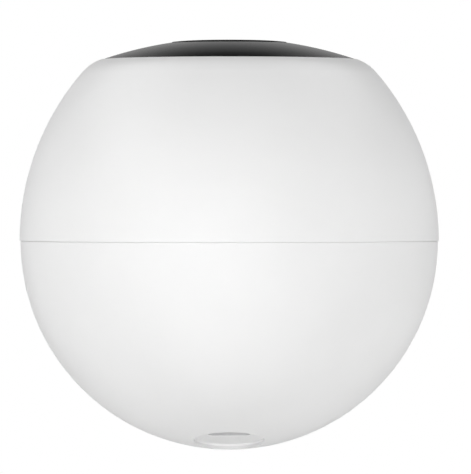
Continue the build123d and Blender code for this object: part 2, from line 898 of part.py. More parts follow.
def motor():
    """A geared stepper with its output shaft's axis at the origin and its ears' top at z = 0."""
    can = rod(motor_r, -motor_ear_t - motor_h, -motor_ear_t, (motor_offset, 0))
    ears = (motor_offset - motor_ear_w / 2, motor_offset + motor_ear_w / 2)
    body = can + rounded_block(
        ears, (-motor_ear_half, motor_ear_half), (-motor_ear_t, 0), motor_ear_w / 2 - round_off
    )
    body += rod(motor_r - motor_collar_step, -motor_ear_t, 0, (motor_offset, 0))
    body += rod(motor_boss_r, 0, motor_boss_h)
    plug = (motor_offset, motor_offset + motor_r + motor_plug_out)
    plug_z = (-motor_plug_bottom, -motor_plug_top)
    body += block(plug, (-motor_plug_half, motor_plug_half), plug_z)
    body -= rod(shaft_r + run_gap, -motor_bore_len, motor_boss_h)
    for sy in (-1, 1):
        body -= rod(screw_r, -motor_ear_t, 0, (motor_offset, sy * motor_screw_half()))
    return body


PAN_MOTOR = Plane(origin=(-gear_centres, 0, shelf_z), x_dir=(-1, 0, 0), z_dir=(0, 0, 1))
TILT_MOTOR = Plane(origin=(chassis_out, gear_centres, 0), x_dir=(0, 1, 0), z_dir=(-1, 0, 0))


def motor_screws():
    screws = []
    for plane, depth in ((PAN_MOTOR, shelf_t), (TILT_MOTOR, chassis_wall)):
        for sy in (-1, 1):
            place = (motor_offset, sy * motor_screw_half())
            screws.append(cap_screw(place, -motor_ear_t, motor_ear_t + depth, plane, flip=True))
    return Compound(screws)


def pan_pinion():
    wheel = Pos(0, 0, pinion_bottom) * gear(pinion_teeth, pinion_t, 180 / pinion_teeth)
    return Pos(-gear_centres, 0, 0) * (wheel - rod(shaft_r, 0, plate_bottom))


def pan_shaft():
    start = shelf_z - motor_bore_len + shaft_end_gap
    return rod(shaft_r, start, pinion_bottom + pinion_t, (-gear_centres, 0))


def tilt_pinion():
    wheel = gear(pinion_teeth, pinion_t, 180 / pinion_teeth) - rod(shaft_r, 0, pinion_t)
    return RIGHT * Pos(gear_centres, 0, sector_face - pinion_t) * wheel


def tilt_shaft():
    end = chassis_out + motor_bore_len - shaft_end_gap
    return rod(shaft_r, sector_face - pinion_t, end, (gear_centres, 0), RIGHT)


# Battery, speaker and boards in the ball


def cell_x():
    return chassis_out + holder_wall + cell_gap + cell_r


CELLS = Plane(origin=(-cell_x(), 0, cell_z), x_dir=(1, 0, 0), z_dir=(0, 1, 0))


def cell_places():
    return [(0, -cell_pitch / 2), (0, cell_pitch / 2)]


def battery_cells():
    """Two cells side by side, each with its raised positive end."""
    end = cell_len / 2
    cells = []
    for place in cell_places():
        cell = rod(cell_r, -end, end - cell_cap_h, place, CELLS)
        cells.append(cell + rod(cell_cap_r, end - cell_cap_h, end, place, CELLS))
    return Compound(cells)


def battery_holder():
    """A tray with a trough for each cell, and the contact bar past their positive ends."""
    end = cell_len / 2 + cell_end_gap
    y = (-end - holder_end, end + holder_end)
    z = (cell_z - holder_half, cell_z + holder_half)
    tray = block((-cell_x() + holder_open, -chassis_out), y, z)
    for place in cell_places():
        tray -= rod(cell_r + cell_gap, -end, end, place, CELLS)
    bar = (-cell_x() + holder_open - contact_w, -cell_x() + holder_open)
    return tray + block(bar, (end, y[1]), (z[0] + contact_inset, z[1] - contact_inset))


def speaker():
    place = (0, cell_z - cell_pitch / 2 - cell_r - speaker_r - speaker_gap)
    rear = -chassis_out - speaker_t
    body = rod(speaker_r, rear, -chassis_out, place, RIGHT)
    return body + rod(magnet_r, rear - magnet_t, rear, place, RIGHT)


def main_board():
    span = (main_board_x, main_board_x + board_t)
    board = rod(main_board_r, *span, plane=RIGHT)
    board &= block((-board_edge, main_board_r), (-main_board_r, main_board_r), span, RIGHT)
    for place in board_post_places():
        board -= rod(screw_r, *span, place, RIGHT)
    return board


def shield_can():
    top = main_board_x + board_t
    half = (-can_half, can_half)
    return rounded_block(half, half, (top, top + can_h), fine_round, RIGHT)


def board_sockets():
    top = main_board_x + board_t
    end = -can_half - socket_row_gap
    across = (end - socket_row_w, end)
    return block(across, (-socket_row_half, socket_row_half), (top, top + socket_row_h), RIGHT)


def board_screws():
    seat = main_board_x + board_t
    depth = board_t + board_screw_len
    return Compound([cap_screw(place, seat, depth, RIGHT) for place in board_post_places()])


def wifi_antenna():
    y = (antenna_y - antenna_w / 2, antenna_y + antenna_w / 2)
    top = chassis_top - antenna_drop
    return block(y, (top - antenna_h, top), (chassis_out, chassis_out + antenna_t), RIGHT)


# Charging socket and its board


def usb_post_places():
    x = socket_w / 2 + usb_post_gap
    return [(-x, 0), (x, 0)]


def socket_form(inset, span):
    """The socket's outline, drawn in by INSET."""
    x = socket_w / 2 - inset
    y = socket_h / 2 - inset
    return rounded_block((-x, x), (-y, y), span, y - round_off, SOCKET)


def usb_board():
    half_x = usb_post_places()[1][0] + usb_board_edge
    span = (socket_back - usb_board_t, socket_back)
    half = (-usb_board_half, usb_board_half)
    board = rounded_block((-half_x, half_x), half, span, fine_round, SOCKET)
    for place in usb_post_places():
        board -= rod(usb_screw_r, *span, place, SOCKET)
    return board


def usb_socket():
    """The charging socket: a steel sleeve with the contact tongue inside it."""
    inner_back = socket_back + socket_back_t
    sleeve = socket_form(0, (socket_back, port_face - socket_inset))
    sleeve -= socket_form(socket_wall, (inner_back, port_face))
    x = (-tongue_half_w, tongue_half_w)
    y = (-tongue_half_h, tongue_half_h)
    return sleeve + block(x, y, (socket_back, port_face - tongue_inset), SOCKET)


def usb_screws():
    seat = socket_back - usb_board_t
    screws = []
    for place in usb_post_places():
        head = rod(usb_head_r, seat - usb_head_t, seat, place, SOCKET)
        screws.append(head + rod(usb_screw_r, seat, socket_back + usb_screw_len, place, SOCKET))
    return Compound(screws)


# The drum


def drum_sphere(r):
    """A sphere whose poles lie on the tilt axis."""
    return RIGHT * Sphere(r)


def barrel_part(near, far):
    """The drum's hollow form between two planes across the view."""
    span = (-drum_half, drum_half)
    reach = 2 * drum_r
    outer = drum_sphere(drum_r) & block(span, (-reach, reach), (-reach, reach))
    inner = drum_sphere(drum_inner_r) & block(
        (-drum_inner_half, drum_inner_half), (-reach, reach), (-reach, reach)
    )
    return (outer - inner) & block((-reach, reach), (near, far), (-reach, reach))


def four(x, z):
    return [(sx * x, sz * z) for sx in (-1, 1) for sz in (-1, 1)]


def cover_screw_places():
    return four(drum_inner_half - cover_screw_side, drum_inner_r - cover_screw_end)


def sensor_post_places():
    return four(sensor_half_x - sensor_post_inset, sensor_post_z)


def peg_places():
    return [on_ring(peg_ring, angle) for angle in peg_angles]


def drum_housing():
    """The drum's front, with its trunnions, the neck of the lens head and the board posts."""
    inside = drum_sphere(drum_r - drum_wall / 2)
    shell = barrel_part(-2 * drum_r, drum_split)
    for side in (-1, 1):
        along = Plane(origin=(0, 0, 0), x_dir=(0, 1, 0), z_dir=(side, 0, 0))
        shell += rod(trunnion_r, drum_inner_half, chassis_out - trunnion_short, plane=along)
    shell += rod(hub_r, -sector_face, -drum_half, plane=RIGHT)
    for place in peg_places():
        shell += rod(peg_r, drum_half - wall_bite, sector_face - peg_short, place, RIGHT)
    shell += rod(neck_r, drum_r - neck_root, neck_end, plane=FRONT)
    for place in cover_screw_places():
        end = cover_post_len - drum_split
        shell += rod(cover_post_r, -drum_split, end, place, FRONT) & inside
        end = cover_screw_len + boss_end_gap - drum_split
        shell -= rod(screw_r, -drum_split, end, place, FRONT)
    for place in sensor_post_places():
        shell += rod(sensor_post_r, sensor_board_y, drum_r, place, FRONT) & inside
        end = sensor_board_y + sensor_screw_len + wall_bite
        shell -= rod(screw_r, sensor_board_y, end, place, FRONT)
    under = -card_t / 2 - card_board_t
    along = (card_board_in + bracket_start, card_board_top - bracket_end)
    for sx in (-1, 1):
        across = sorted((sx * (drum_inner_half - bracket_w), sx * (drum_inner_half + wall_bite)))
        shell += block(across, (under - bracket_t, under), along, CARD)
    shell -= rod(neck_r - neck_wall, filter_front, ball_r, plane=FRONT)
    shell -= rod(trunnion_bore, -chassis_out, chassis_out, plane=RIGHT)
    shell -= block(card_mouth(), (-card_slot_half, card_slot_half), (button_back, ball_r), CARD)
    shell -= rod(button_r + button_gap, button_back, ball_r, (button_x, 0), CARD)
    return shell


def drum_cover():
    shell = barrel_part(drum_split, 2 * drum_r)
    inside = drum_sphere(drum_r - drum_wall / 2)
    for x, z in cover_screw_places():
        place = (-x, z)
        shell += rod(cover_boss_r, drum_split, drum_r, place, BACK) & inside
        head = screw_head_r + head_bore_gap
        shell -= rod(head, drum_split + cover_seat, drum_r, place, BACK)
        shell -= rod(screw_r, drum_split, drum_r, place, BACK)
    return shell


def drum_screws():
    screws = []
    for x, z in cover_screw_places():
        seat = drum_split + cover_seat
        screws.append(cap_screw((-x, z), seat, cover_seat + cover_screw_len, BACK))
    for place in sensor_post_places():
        depth = board_t + sensor_screw_len
        screws.append(cap_screw(place, sensor_board_back, depth, FRONT, flip=True))
    return Compound(screws)


def tilt_gear():
    """A toothed sector on a round plate, over the right trunnion, held by three pegs."""
    start = -tilt_down - sector_spare
    end = tilt_up + sector_spare
    teeth = gear_sector(wheel_teeth, sector_t, 0, start, end)
    plate_r = peg_ring + peg_r + peg_wall
    plate = teeth + rod(plate_r, 0, sector_t)
    plate -= rod(trunnion_r + seat_gap, 0, sector_t)
    for place in peg_places():
        plate -= rod(peg_r + seat_gap, 0, sector_t, place)
    for angle in sector_hole_angles:
        place = on_ring((plate_r + wheel_r) / 2, (start + end) / 2 + angle)
        plate -= rod(sector_hole_r, 0, sector_t, place)
    return RIGHT * Pos(0, 0, sector_face - sector_t) * plate


# The lens head and the camera module


def lens_head():
    rear = drum_r - neck_root
    seat = window_r + seat_gap
    slip = neck_r + seat_gap
    ring = turned([
        (slip, rear), (head_r, rear), (head_r, head_front - head_edge),
        (head_r - head_edge, head_front), (seat, head_front), (seat, window_back),
        (seat - head_step, window_back), (seat - head_step, led_board_front + seat_gap),
        (slip, led_board_front + seat_gap),
    ], FRONT)
    return ring - drum_sphere(drum_r + seat_gap)


def lens_window():
    return rod(window_r, window_back, window_front, plane=FRONT)


def lens_barrel():
    """The lens tube: a wide front, a threaded tail and a stepped mouth."""
    lip = lens_r - lens_mouth
    seat = lens_front - lens_mouth_len
    return turned([
        (lens_bore, lens_back), (lens_thread_r, lens_back), (lens_thread_r, lens_mid),
        (lens_r, lens_mid), (lens_r, lens_front), (lip, lens_front),
        (lip, seat), (lens_bore, seat),
    ], FRONT)


def lens_glass():
    """The front element: a dome over a flat back."""
    r = lens_r - lens_mouth - seat_gap
    back = lens_front - lens_mouth_len
    top = back + glass_edge + glass_rise
    centre = top - glass_r
    rim = centre + sqrt(glass_r ** 2 - r ** 2)
    edges = [
        line((0, back), (r, back)),
        line((r, back), (r, rim)),
        arc_from((0, centre), (r, rim), (0, top)),
        line((0, top), (0, back)),
    ]
    return turned_edges(edges, FRONT)


def lens_holder():
    """The threaded socket of the lens on its rectangular foot."""
    bore = lens_thread_r + seat_gap
    x = (-holder_half_x, holder_half_x)
    z = (-holder_half_z, holder_half_z)
    foot = rounded_block(x, z, (filter_front, filter_front + holder_foot_t), fine_round, FRONT)
    tube = rod(bore + holder_tube_wall, filter_front, lens_mid - holder_short, plane=FRONT)
    return foot + tube - rod(bore, filter_front, lens_mid, plane=FRONT)


def filter_case():
    """The flat housing in which the infrared filter slides before the sensor."""
    x = filter_reach + case_wall
    case = block((-x, x), (-case_half_z, case_half_z), (sensor_board_y, filter_front), FRONT)
    z = filter_half_z + slide_gap
    y = (filter_near - slide_gap, filter_near + filter_t + slide_gap)
    case -= block((-filter_reach, filter_reach), (-z, z), y, FRONT)
    case -= rod(lens_bore, sensor_board_y, filter_front, plane=FRONT)
    room = image_sensor_box(2 * sensor_room)
    return case - room


def filter_slider():
    """The filter's frame, with two square mouths; it starts with the clear one on the axis."""
    x = (-filter_travel - filter_edge, filter_edge)
    y = (filter_near, filter_near + filter_t)
    frame = block(x, (-filter_half_z, filter_half_z), y, FRONT)
    for middle in (-filter_travel, 0):
        mouth = (middle - glass_half_x, middle + glass_half_x)
        frame -= block(mouth, (-glass_half_z, glass_half_z), y, FRONT)
    return frame


def filter_glasses():
    x = glass_half_x - seat_gap
    z = glass_half_z - seat_gap
    y = (filter_near + glass_back, filter_near + glass_back + glass_t)
    glasses = []
    for middle in (-filter_travel, 0):
        glasses.append(block((middle - x, middle + x), (-z, z), y, FRONT))
    return Compound(glasses)


def filter_coil():
    """The small coil that pushes the filter across."""
    y = (sensor_board_y + coil_back, sensor_board_y + coil_back + coil_t)
    z = (case_half_z, case_half_z + coil_h)
    return rounded_block((-coil_half, coil_half), z, y, fine_round, FRONT)


def sensor_board():
    x = (-sensor_half_x, sensor_half_x)
    y = (sensor_board_back, sensor_board_y)
    board = rounded_block(x, (-sensor_low, sensor_top), y, fine_round, FRONT)
    for place in sensor_post_places():
        board -= rod(screw_r, *y, place, FRONT)
    return board


def image_sensor_box(room=0.0):
    x = sensor_w / 2 + room
    z = sensor_h / 2 + room
    return block((-x, x), (-z, z), (sensor_board_y, sensor_board_y + sensor_t + room / 2), FRONT)


def light_baffle():
    """The rubber ring that keeps the lamps' light out of the lens."""
    inner = lens_r + seat_gap
    outer = lens_r + baffle_wall
    top = window_back - seat_gap
    return turned([
        (inner, led_board_front), (outer, led_board_front), (outer, top), (inner, top),
    ], FRONT)


def led_board():
    board = rod(neck_r - seat_gap, neck_end, led_board_front, plane=FRONT)
    return board - rod(lens_r + board_hole_gap, neck_end, led_board_front, plane=FRONT)


def on_lamp_board(angle, w, h, t):
    """A small case on the lamp board's ring."""
    x, z = on_ring(led_ring_r, angle)
    y = (led_board_front, led_board_front + t)
    return block((x - w / 2, x + w / 2), (z - h / 2, z + h / 2), y, FRONT)


def infrared_leds():
    half = (-led_size / 2, led_size / 2)
    chip = block(half, half, (0, led_chip_h)) + rod(led_dome_r, led_chip_h, led_chip_h + led_dome_h)
    leds = []
    for angle in led_angles:
        x, z = on_ring(led_ring_r, angle)
        leds.append(FRONT * Pos(x, z, led_board_front) * Rot(0, 0, angle) * chip)
    return Compound(leds)


def light_sensor():
    return on_lamp_board(90, light_case_w, light_case_h, light_case_t)


def status_led():
    return on_lamp_board(270, status_w, status_h, status_t)


def microphone():
    place = on_ring(led_ring_r, 0)
    top = led_board_front + mic_t
    return on_lamp_board(0, mic_w, mic_h, mic_t) - rod(mic_port_r, top - mic_t / 2, top, place, FRONT)


# Card socket and reset button


def card_board():
    x = drum_inner_half - card_board_side
    y = (-card_t / 2 - card_board_t, -card_t / 2)
    return block((-x, x), y, (card_board_in, card_board_top), CARD)


def card_mouth():
    half = card_w / 2 - card_wall
    return (card_x - half, card_x + half)


def card_socket():
    top = drum_inner_r - card_inset
    bottom = top - card_len
    across = (card_x - card_w / 2, card_x + card_w / 2)
    case = block(across, (-card_t / 2, card_t / 2), (bottom, top), CARD)
    slot = (-card_slot_half, card_slot_half)
    return case - block(card_mouth(), slot, (bottom + card_back, top), CARD)


def reset_button():
    front = sqrt(drum_r ** 2 - button_x ** 2) - button_inset
    seat = button_back + button_flange
    stem = rod(button_r, seat, front, (button_x, 0), CARD)
    return stem + rod(button_r + button_flange, button_back, seat, (button_x, 0), CARD)


def reset_switch():
    key = button_back - button_travel - switch_gap
    top = key - switch_key_h
    x = (button_x - switch_half, button_x + switch_half)
    y = (-card_t / 2, card_t / 2 + switch_side)
    body = block(x, y, (top - switch_body_h, top), CARD)
    return body + rod(switch_key_r, top - switch_gap, key, (button_x, 0), CARD)


os.makedirs("parts", exist_ok=True)
pieces = {
    "mount_pad": mount_pad(),
    "thread_insert": thread_insert(),
    "top_cap": top_cap(),
    "base_plate": base_plate(),
    "pan_gear": pan_gear(),
    "base_screws": base_screws(),
    "upper_shell": upper_shell(),
    "lower_shell": lower_shell(),
    "bearing_ring": bearing_ring(),
    "slot_bezel": slot_bezel(),
    "chassis_left": chassis_left(),
    "chassis_right": chassis_right(),
    "chassis_screws": chassis_screws(),
    "tilt_bush_left": tilt_bush(-1),
    "tilt_bush_right": tilt_bush(1),
    "pan_motor": PAN_MOTOR * motor(),
    "tilt_motor": TILT_MOTOR * motor(),
    "motor_screws": motor_screws(),
    "battery_cells": battery_cells(),
    "battery_holder": battery_holder(),
    "speaker": speaker(),
    "main_board": main_board(),
    "shield_can": shield_can(),
    "board_sockets": board_sockets(),
    "board_screws": board_screws(),
    "wifi_antenna": wifi_antenna(),
    "usb_board": usb_board(),
    "usb_socket": usb_socket(),
    "usb_screws": usb_screws(),
    "pan_pinion": pan_pinion(),
    "pan_shaft": pan_shaft(),
    "tilt_pinion": tilt_pinion(),
    "tilt_shaft": tilt_shaft(),
    "drum_housing": drum_housing(),
    "drum_cover": drum_cover(),
    "drum_screws": drum_screws(),
    "tilt_gear": tilt_gear(),
    "lens_head": lens_head(),
    "lens_window": lens_window(),
    "lens_barrel": lens_barrel(),
    "lens_glass": lens_glass(),
    "lens_holder": lens_holder(),
    "filter_case": filter_case(),
    "filter_slider": filter_slider(),
    "filter_glasses": filter_glasses(),
    "filter_coil": filter_coil(),
    "sensor_board": sensor_board(),
    "image_sensor": image_sensor_box(),
    "light_baffle": light_baffle(),
    "led_board": led_board(),
    "infrared_leds": infrared_leds(),
    "light_sensor": light_sensor(),
    "status_led": status_led(),
    "microphone": microphone(),
    "card_board": card_board(),
    "card_socket": card_socket(),
    "reset_switch": reset_switch(),
    "reset_button": reset_button(),
}
for name, piece in pieces.items():
    export_step(Pos(0, 0, -mount_height) * piece, f"parts/{name}.step")
print("ball centre below the mounting face", round(mount_height, 4))
print("pan pinion axis from the pan axis", round(gear_centres, 4))
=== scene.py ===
"""A pan and tilt security camera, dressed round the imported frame: the camera, the studio, the
materials and the fine pieces that the solids leave out."""
import math

import bmesh
import bpy
from mathutils import Matrix, Vector


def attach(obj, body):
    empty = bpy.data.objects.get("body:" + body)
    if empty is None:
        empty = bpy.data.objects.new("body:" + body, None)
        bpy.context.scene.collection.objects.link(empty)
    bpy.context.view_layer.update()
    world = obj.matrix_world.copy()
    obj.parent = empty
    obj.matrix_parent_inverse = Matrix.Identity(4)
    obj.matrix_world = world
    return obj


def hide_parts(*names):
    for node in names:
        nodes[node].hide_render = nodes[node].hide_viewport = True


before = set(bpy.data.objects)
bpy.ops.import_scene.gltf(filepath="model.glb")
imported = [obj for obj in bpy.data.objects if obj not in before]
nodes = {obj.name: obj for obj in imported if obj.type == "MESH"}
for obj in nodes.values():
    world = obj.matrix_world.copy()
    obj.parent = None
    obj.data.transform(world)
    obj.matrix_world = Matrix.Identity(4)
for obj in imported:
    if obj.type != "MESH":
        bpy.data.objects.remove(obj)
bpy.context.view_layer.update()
scene = bpy.context.scene
scene.view_settings.view_transform = "Standard"

MM = 0.001
WHITE = (1.0, 1.0, 1.0, 1.0)
# The ball's middle: the camera, the lamps and the pieces in the ball are placed from it
BALL = Vector((0.0, 0.0, -43.0319 * MM))

# The camera stands behind the product, a little above the ball's middle
CAMERA_DISTANCE = 1.230
CAMERA_RISE = math.radians(0.47)
CAMERA_SENSOR = 36.0
CAMERA_LENS = 434.9
CAMERA_CLIP_END = 20.0
CAMERA_TARGET = Vector((-1.35 * MM, 0, 0.83 * MM))


def make_camera():
    data = bpy.data.cameras.new("camera")
    data.sensor_width = CAMERA_SENSOR
    data.lens = CAMERA_LENS
    data.clip_end = CAMERA_CLIP_END
    cam = bpy.data.objects.new("camera", data)
    scene.collection.objects.link(cam)
    cam.location = BALL + Vector((0, CAMERA_DISTANCE * math.cos(CAMERA_RISE),
                                  CAMERA_DISTANCE * math.sin(CAMERA_RISE)))
    target = BALL + CAMERA_TARGET
    cam.rotation_euler = (target - cam.location).to_track_quat("-Z", "Y").to_euler()
    scene.camera = cam


make_camera()


# Helpers for node trees
def add_node(tree, kind, inputs=None, operation=None):
    """A new shader node. INPUTS gives, by name or number, a plain value or an output to link."""
    node = tree.nodes.new("ShaderNode" + kind)
    if operation:
        node.operation = operation
    for key, value in (inputs or {}).items():
        if isinstance(value, bpy.types.NodeSocket):
            tree.links.new(value, node.inputs[key])
        else:
            node.inputs[key].default_value = value
    return node


def math_node(tree, operation, a, b=0.0):
    return add_node(tree, "Math", {0: a, 1: b}, operation).outputs[0]


def add_ramp(tree, value, low, high, ends=(0.0, 1.0)):
    """The colour from LOW to HIGH as VALUE goes from one of ENDS to the other."""
    ramp = add_node(tree, "ValToRGB", {"Fac": value})
    for element, position, colour in zip(ramp.color_ramp.elements, ends, (low, high)):
        element.position = position
        element.color = (*colour, 1.0)
    return ramp.outputs["Color"]


# The studio: soft lamps round the product, a pale floor far below it, and a band of light at eye
# level, brighter on the side that is photographed. The camera itself sees plain white.
BAND_HALF_HEIGHT = 0.42
BAND_SHARPNESS = 6.0
BAND_ALL_ROUND = 0.337
BAND_AHEAD = 0.62


def make_world():
    world = bpy.data.worlds.new("studio")
    scene.world = world
    world.use_nodes = True
    tree = world.node_tree
    tree.nodes.clear()
    coord = add_node(tree, "TexCoord")
    way = add_node(tree, "SeparateXYZ", {0: coord.outputs["Generated"]})
    height = math_node(tree, "DIVIDE", way.outputs["Z"], BAND_HALF_HEIGHT)
    fall = math_node(tree, "POWER", math_node(tree, "ABSOLUTE", height), BAND_SHARPNESS)
    band = math_node(tree, "POWER", math.e, math_node(tree, "MULTIPLY", fall, -1.0))
    ahead = math_node(tree, "MAXIMUM", way.outputs["Y"], 0.0)
    ahead = math_node(tree, "MULTIPLY", ahead, BAND_AHEAD)
    strength = math_node(tree, "MULTIPLY", math_node(tree, "ADD", ahead, BAND_ALL_ROUND), band)
    light = add_node(tree, "Background", {"Strength": strength})
    seen = add_node(tree, "Background", {"Strength": 1.0, "Color": WHITE})
    path = add_node(tree, "LightPath")
    mix = add_node(tree, "MixShader", {"Fac": path.outputs["Is Camera Ray"],
                                       1: light.outputs[0], 2: seen.outputs[0]})
    add_node(tree, "OutputWorld", {"Surface": mix.outputs[0]})


# Disc lamps on a sphere round the ball: azimuth from the camera's side towards +X, elevation
# (both in degrees), diameter in metres, power in watts
LAMP_DISTANCE = 1.3
LAMPS = [
    (0, -18, 0.3, 7.13),
    (-130, -20, 0.3, 6.25),
    (130, -20, 0.3, 6.20),
    (180, -40, 0.9, 5.39),
    (120, 50, 0.9, 4.70),
    (-120, 50, 0.9, 4.60),
    (60, 30, 0.9, 3.46),
    (-90, 10, 0.9, 3.25),
    (20, 15, 0.9, 2.82),
    (0, -45, 0.9, 2.79),
    (90, 10, 0.9, 1.09),
    (-130, 20, 0.9, 0.93),
    (-20, 15, 0.9, 0.67),
    (130, 20, 0.9, 0.62),
    (0, 20, 0.9, 0.56),
    (-60, 30, 0.9, 0.42),
    (180, 15, 0.9, 0.29),
    (152, 24, 0.08, 0.12),
    (208, 24, 0.08, 0.12),
]


def make_lamps():
    """The lamps. Those below the horizon show in no reflection and through no glass."""
    for azimuth, elevation, size, power in LAMPS:
        a = math.radians(azimuth)
        e = math.radians(elevation)
        way = Vector((math.sin(a) * math.cos(e), math.cos(a) * math.cos(e), math.sin(e)))
        place = way * LAMP_DISTANCE
        data = bpy.data.lights.new("lamp", "AREA")
        data.shape = "DISK"
        data.size = size
        data.energy = power
        lamp = bpy.data.objects.new("lamp", data)
        scene.collection.objects.link(lamp)
        lamp.visible_camera = False
        lamp.visible_glossy = elevation > 0
        lamp.visible_transmission = elevation > 0
        lamp.location = BALL + place
        lamp.rotation_euler = (-place).to_track_quat("-Z", "Y").to_euler()


FLOOR_HALF = 9.0
FLOOR_Z = -1.60
FLOOR_GLOW = 0.91
FLOOR_ROUGHNESS = 0.9
FLOOR_PATCHES = 12.0


def make_floor():
    """The floor: pale paper that glows for the camera alone, so that it meets the white world."""
    mesh = bpy.data.meshes.new("studio_floor")
    half = FLOOR_HALF
    corners = [(-half, -half, 0), (half, -half, 0), (half, half, 0), (-half, half, 0)]
    mesh.from_pydata(corners, [], [(0, 1, 2, 3)])
    floor = bpy.data.objects.new("studio_floor", mesh)
    scene.collection.objects.link(floor)
    floor.location = (0, 0, FLOOR_Z)
    mat = bpy.data.materials.new("floor_paper")
    mat.use_nodes = True
    tree = mat.node_tree
    coord = add_node(tree, "TexCoord")
    noise = add_node(tree, "TexNoise", {"Vector": coord.outputs["Object"],
                                        "Scale": FLOOR_PATCHES})
    colour = add_ramp(tree, noise.outputs["Fac"], (0.80, 0.80, 0.79), (0.84, 0.84, 0.83))
    path = add_node(tree, "LightPath")
    glow = math_node(tree, "MULTIPLY", path.outputs["Is Camera Ray"], FLOOR_GLOW)
    shader = tree.nodes["Principled BSDF"]
    shader.inputs["Roughness"].default_value = FLOOR_ROUGHNESS
    shader.inputs["Emission Color"].default_value = WHITE
    tree.links.new(glow, shader.inputs["Emission Strength"])
    tree.links.new(colour, shader.inputs["Base Color"])
    mesh.materials.append(mat)


make_world()
make_lamps()
make_floor()


# Materials, all worked out from noise in the object's own space
DRIFT_DETAIL = 3.0
DRIFT_ENDS = (0.30, 0.70)
GRAIN_DETAIL = 4.0


def surface(name, low, high, patch, roughness, spread, grain, depth, metallic=0.0):
    """A material: its colour drifts between LOW and HIGH over PATCH metres, its roughness lies
    within SPREAD of ROUGHNESS, and it has a fine grain of GRAIN metres, DEPTH metres deep."""
    mat = bpy.data.materials.new(name)
    mat.use_nodes = True
    tree = mat.node_tree
    place = add_node(tree, "TexCoord").outputs["Object"]
    drift = add_node(tree, "TexNoise", {"Vector": place, "Scale": 1.0 / patch,
                                        "Detail": DRIFT_DETAIL})
    fine = add_node(tree, "TexNoise", {"Vector": place, "Scale": 1.0 / grain,
                                       "Detail": GRAIN_DETAIL})
    colour = add_ramp(tree, drift.outputs["Fac"], low, high, DRIFT_ENDS)
    rough = add_node(tree, "MapRange", {"Value": fine.outputs["Fac"],
                                        "To Min": roughness - spread,
                                        "To Max": roughness + spread})
    bump = add_node(tree, "Bump", {"Height": fine.outputs["Fac"], "Strength": 1.0,
                                   "Distance": depth})
    shader = tree.nodes["Principled BSDF"]
    shader.inputs["Metallic"].default_value = metallic
    tree.links.new(colour, shader.inputs["Base Color"])
    tree.links.new(rough.outputs["Result"], shader.inputs["Roughness"])
    tree.links.new(bump.outputs["Normal"], shader.inputs["Normal"])
    return mat


def grey(v):
    return (v, v, v)


def tuned(mat, **settings):
    """Sets sockets of MAT's shader that are the same all over it, such as IOR."""
    shader = mat.node_tree.nodes["Principled BSDF"]
    for name, value in settings.items():
        shader.inputs[name.replace("_", " ")].default_value = value
    return mat


def ribbed(mat, pitch, depth):
    """Moulds concentric ribs round the pan axis into MAT, PITCH metres apart."""
    tree = mat.node_tree
    grain = next(node for node in tree.nodes if node.type == "BUMP")
    coord = add_node(tree, "TexCoord")
    flat = add_node(tree, "VectorMath", {0: coord.outputs["Object"], 1: (1.0, 1.0, 0.0)},
                    "MULTIPLY")
    reach = add_node(tree, "VectorMath", {0: flat.outputs["Vector"]}, "LENGTH")
    turn = math_node(tree, "MULTIPLY", reach.outputs["Value"], 2 * math.pi / pitch)
    ribs = add_node(tree, "Bump", {"Height": math_node(tree, "SINE", turn), "Distance": depth})
    tree.links.new(ribs.outputs["Normal"], grain.inputs["Normal"])
    return mat


# Mouldings
shell_white = surface("shell_white", grey(0.835), grey(0.855), 0.02, 0.44, 0.03, 0.6e-3, 1.5e-6)
# Painted shade: a grey that darkens the charging recess's rim in place of the shade of a rounded
# edge
painted_shade_grey = surface("painted_shade_grey", grey(0.71), grey(0.75), 0.01, 0.50, 0.03, 0.6e-3, 1.5e-6)
cap_graphite = surface("cap_graphite", grey(0.004), grey(0.006), 0.01, 0.18, 0.03, 0.4e-3, 2e-6)
frame_black = surface("frame_black", grey(0.016), grey(0.022), 0.01, 0.50, 0.06, 0.4e-3, 4e-6)
head_black = surface("head_black", grey(0.011), grey(0.014), 0.01, 0.22, 0.03, 0.6e-3, 1e-6)
drum_black = surface("drum_black", grey(0.014), grey(0.018), 0.01, 0.40, 0.04, 0.4e-3, 3e-6)
acetal = surface("acetal_cream", (0.78, 0.74, 0.62), (0.84, 0.80, 0.69), 0.004, 0.42, 0.05,
                 0.5e-3, 3e-6)
cream = surface("parts_cream", (0.66, 0.63, 0.54), (0.74, 0.71, 0.62), 0.003, 0.5, 0.05,
                0.4e-3, 3e-6)
sleeve = surface("cell_sleeve", (0.03, 0.08, 0.26), (0.05, 0.12, 0.34), 0.01, 0.25, 0.05,
                 1e-3, 4e-6)

# Rubber: the pad's ribs are moulded
pad_rubber = surface("pad_rubber", grey(0.010), grey(0.014), 0.004, 0.75, 0.08, 0.3e-3, 10e-6)
pad_ribbed = surface("pad_ribbed", grey(0.004), grey(0.006), 0.004, 0.60, 0.08, 0.3e-3, 8e-6)
ribbed(tuned(pad_ribbed, Specular_IOR_Level=0.1), 1.2e-3, 0.12e-3)

# Metals
steel = surface("plain_steel", (0.50, 0.50, 0.51), (0.62, 0.62, 0.63), 0.002, 0.32, 0.08,
                0.2e-3, 2e-6, metallic=1.0)
bright_steel = surface("bright_steel", (0.78, 0.78, 0.79), (0.86, 0.86, 0.87), 0.002, 0.50, 0.08,
                       0.2e-3, 2e-6, metallic=0.6)
dark_metal = surface("dark_metal", grey(0.012), grey(0.018), 0.002, 0.30, 0.06, 0.2e-3, 4e-6,
                     metallic=0.6)
brass = surface("insert_brass", (0.62, 0.45, 0.20), (0.74, 0.56, 0.28), 0.003, 0.24, 0.05,
                0.2e-3, 0.6e-6, metallic=1.0)
gold = surface("contact_gold", (0.80, 0.58, 0.22), (0.88, 0.66, 0.30), 0.0006, 0.25, 0.05,
               0.1e-3, 1e-6, metallic=1.0)

